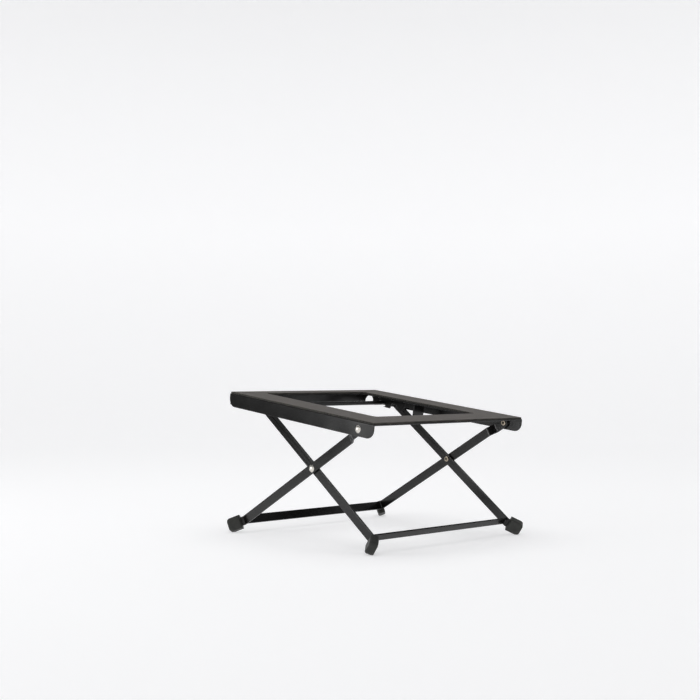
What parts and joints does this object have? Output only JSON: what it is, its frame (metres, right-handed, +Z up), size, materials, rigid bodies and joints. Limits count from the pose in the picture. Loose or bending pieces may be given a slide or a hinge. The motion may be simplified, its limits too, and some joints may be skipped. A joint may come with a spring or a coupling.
{
  "type": "folding foot rest stand",
  "caption": "Low folding stand with an open rectangular top plate under a rubber mat, two crossed flat-bar frames, notched racks for the height and rubber foot caps.",
  "frame": {"origin": "on the floor, at the middle of the footprint", "axes": "+Z up, +X to the right side, +Y towards the far, higher end of the top plate; the plate is hinged near its -Y end"},
  "size_m": [0.3002, 0.3041, 0.1979],
  "materials": {
    "black_steel": "satin black paint",
    "mat_rubber": "matte warm grey rubber",
    "cap_rubber": "matte dark grey rubber",
    "rivet_nickel": "bright nickel plate",
    "washer_steel": "zinc plate"
  },
  "bodies": {
    "outer_frame": {"outer_crossbar": "black_steel", "outer_leg_right": "black_steel", "outer_leg_left": "black_steel", "outer_foot_cap_right": "cap_rubber", "outer_foot_cap_left": "cap_rubber", "centre_rivet_right": "rivet_nickel", "centre_rivet_left": "rivet_nickel", "centre_washer_right": "washer_steel", "centre_washer_left": "washer_steel"},
    "inner_frame": {"inner_crossbar": "black_steel", "latch_rod": "black_steel", "inner_leg_right": "black_steel", "inner_leg_left": "black_steel", "inner_foot_cap_right": "cap_rubber", "inner_foot_cap_left": "cap_rubber"},
    "top": {"top_plate": "black_steel", "rubber_mat": "mat_rubber", "rack_right": "black_steel", "rack_left": "black_steel", "plate_rivet_right": "rivet_nickel", "plate_rivet_left": "rivet_nickel", "plate_washer_right": "washer_steel", "plate_washer_left": "washer_steel"}
  },
  "joints": [
    {"name": "leg_fold", "type": "hinge", "parent": "outer_frame", "child": "inner_frame", "pos_m": [0, -0.0196, 0.0985], "axis": [-1, 0, 0], "range_deg": [0, 57]},
    {"name": "plate_hinge", "type": "hinge", "parent": "outer_frame", "child": "top", "pos_m": [0, -0.12016, 0.15412], "axis": [-1, 0, 0], "range_deg": [0, 11.5]}
  ],
  "couplings": [
    {"joint": "plate_hinge", "follows": "leg_fold", "ratio": 0.2}
  ]
}
